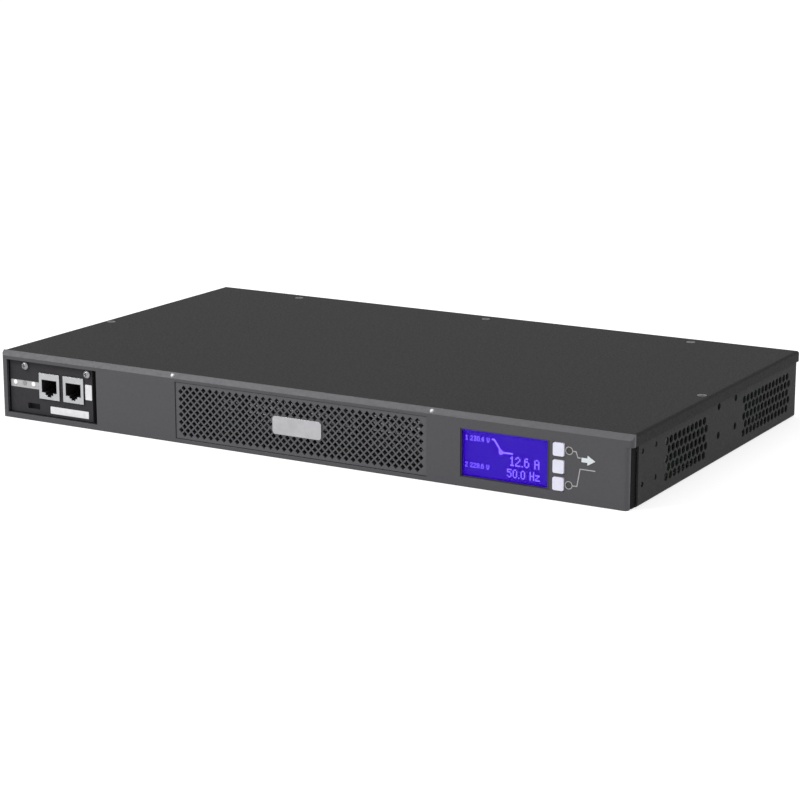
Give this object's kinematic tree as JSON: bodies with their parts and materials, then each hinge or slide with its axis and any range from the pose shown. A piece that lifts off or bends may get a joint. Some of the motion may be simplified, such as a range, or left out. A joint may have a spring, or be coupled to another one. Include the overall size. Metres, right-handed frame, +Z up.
{
  "type": "rack static transfer switch",
  "caption": "Low rack-mount static transfer switch: vented steel housing, bezel with grille, blue display and lit buttons, network card at the left, mains sockets at the rear.",
  "frame": {"origin": "middle of the bottom of the overall box", "axes": "+X right as seen from the front, -Y towards the front panel, +Z up"},
  "size_m": [0.44, 0.254, 0.043],
  "materials": {
    "tray_powder": "fine textured powder coat",
    "cover_powder": "fine textured powder coat",
    "screw_steel": "zinc plated",
    "bezel_grey": "satin metallic grey",
    "grille_black": "satin",
    "badge_silver": "satin",
    "window_clear": "clear",
    "black_plastic": "moulded",
    "display_blue": "backlit",
    "button_white": "backlit",
    "light_dark": "unlit lens",
    "light_white": "backlit",
    "board_green": "solder mask",
    "brass": "plain",
    "cable_grey": "ribbon",
    "zinc_steel": "zinc plated",
    "jack_metal": "nickel plated",
    "socket_black": "moulded",
    "copper": "plain copper",
    "liner": "film",
    "sink_aluminium": "extruded",
    "package_black": "moulded",
    "relay_blue": "moulded",
    "can_blue": "sleeved can",
    "film_yellow": "moulded",
    "core_steel": "laminated core",
    "ring_green": "coated ring",
    "fuse_metal": "plated"
  },
  "bodies": {
    "housing": {"chassis_tray": "tray_powder", "front_panel": "tray_powder", "rear_panel": "tray_powder", "top_cover": "cover_powder", "cover_screws": "screw_steel", "side_nuts": "screw_steel", "front_bezel": "bezel_grey", "bezel_screws": "screw_steel", "bezel_pins": "screw_steel", "front_grille": "grille_black", "grille_badge": "badge_silver", "window_lens": "window_clear", "display_frame": "black_plastic", "display_glass": "display_blue", "status_lights": "light_dark", "arrow_light": "light_white", "control_board": "board_green", "button_switches": "black_plastic", "control_spacers": "brass", "control_screws": "screw_steel", "ribbon_cable": "cable_grey", "card_cage": "zinc_steel", "card_guides": "black_plastic", "card_faceplate": "tray_powder", "card_screws": "screw_steel", "card_lights": "light_white", "card_board": "board_green", "network_jack_left": "jack_metal", "network_jack_right": "jack_metal", "card_connector": "black_plastic", "inlet_a": "socket_black", "inlet_b": "socket_black", "inlet_blades": "brass", "inlet_screws": "screw_steel", "outlet_row_a": "socket_black", "outlet_row_b": "socket_black", "wide_outlet": "socket_black", "outlet_tabs": "brass", "earth_washer": "screw_steel", "earth_screw": "screw_steel", "outlet_board": "board_green", "bus_bars": "copper", "insulating_sheet": "liner", "board_standoffs": "brass", "main_board": "board_green", "board_screws": "screw_steel", "heat_sink": "sink_aluminium", "thyristors": "package_black", "thyristor_screws": "screw_steel", "relays": "relay_blue", "smoothing_capacitors": "can_blue", "film_capacitors": "film_yellow", "transformers": "core_steel", "current_sensors": "ring_green", "fuses": "fuse_metal", "controller_chips": "package_black", "board_headers": "black_plastic"},
    "top_button": {"button_top": "button_white"},
    "middle_button": {"button_middle": "button_white"},
    "bottom_button": {"button_bottom": "button_white"}
  },
  "joints": [
    {"name": "top_press", "type": "slide", "parent": "housing", "child": "top_button", "axis": [0, 1, 0], "range_m": [0, 0.0005], "stiffness_N_per_m": 1500},
    {"name": "middle_press", "type": "slide", "parent": "housing", "child": "middle_button", "axis": [0, 1, 0], "range_m": [0, 0.0005], "stiffness_N_per_m": 1500},
    {"name": "bottom_press", "type": "slide", "parent": "housing", "child": "bottom_button", "axis": [0, 1, 0], "range_m": [0, 0.0005], "stiffness_N_per_m": 1500}
  ]
}
